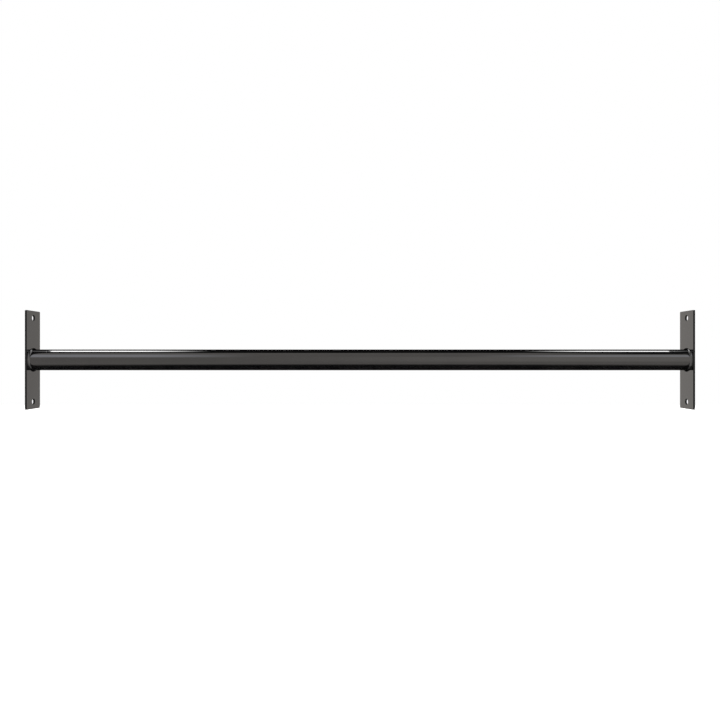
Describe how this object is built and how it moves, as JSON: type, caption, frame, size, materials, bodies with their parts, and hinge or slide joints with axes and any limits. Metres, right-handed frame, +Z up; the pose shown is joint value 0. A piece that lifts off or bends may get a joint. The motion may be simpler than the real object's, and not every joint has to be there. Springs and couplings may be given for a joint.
{
  "type": "pull up bar",
  "caption": "Straight round steel bar welded between flat drilled end plates, bolted between two posts or walls to hang from.",
  "frame": {"origin": "centre of the bar, on the tube's axis and midway between the plates", "axes": "+X along the bar to its right-hand end, +Y away from the front, +Z up along the plates"},
  "size_m": [1.006, 0.04, 0.15],
  "materials": {
    "black_coating": "gloss black coating over steel"
  },
  "bodies": {
    "root": {"grip_tube": "black_coating", "left_end_plate": "black_coating", "right_end_plate": "black_coating", "left_weld": "black_coating", "right_weld": "black_coating"}
  },
  "joints": []
}
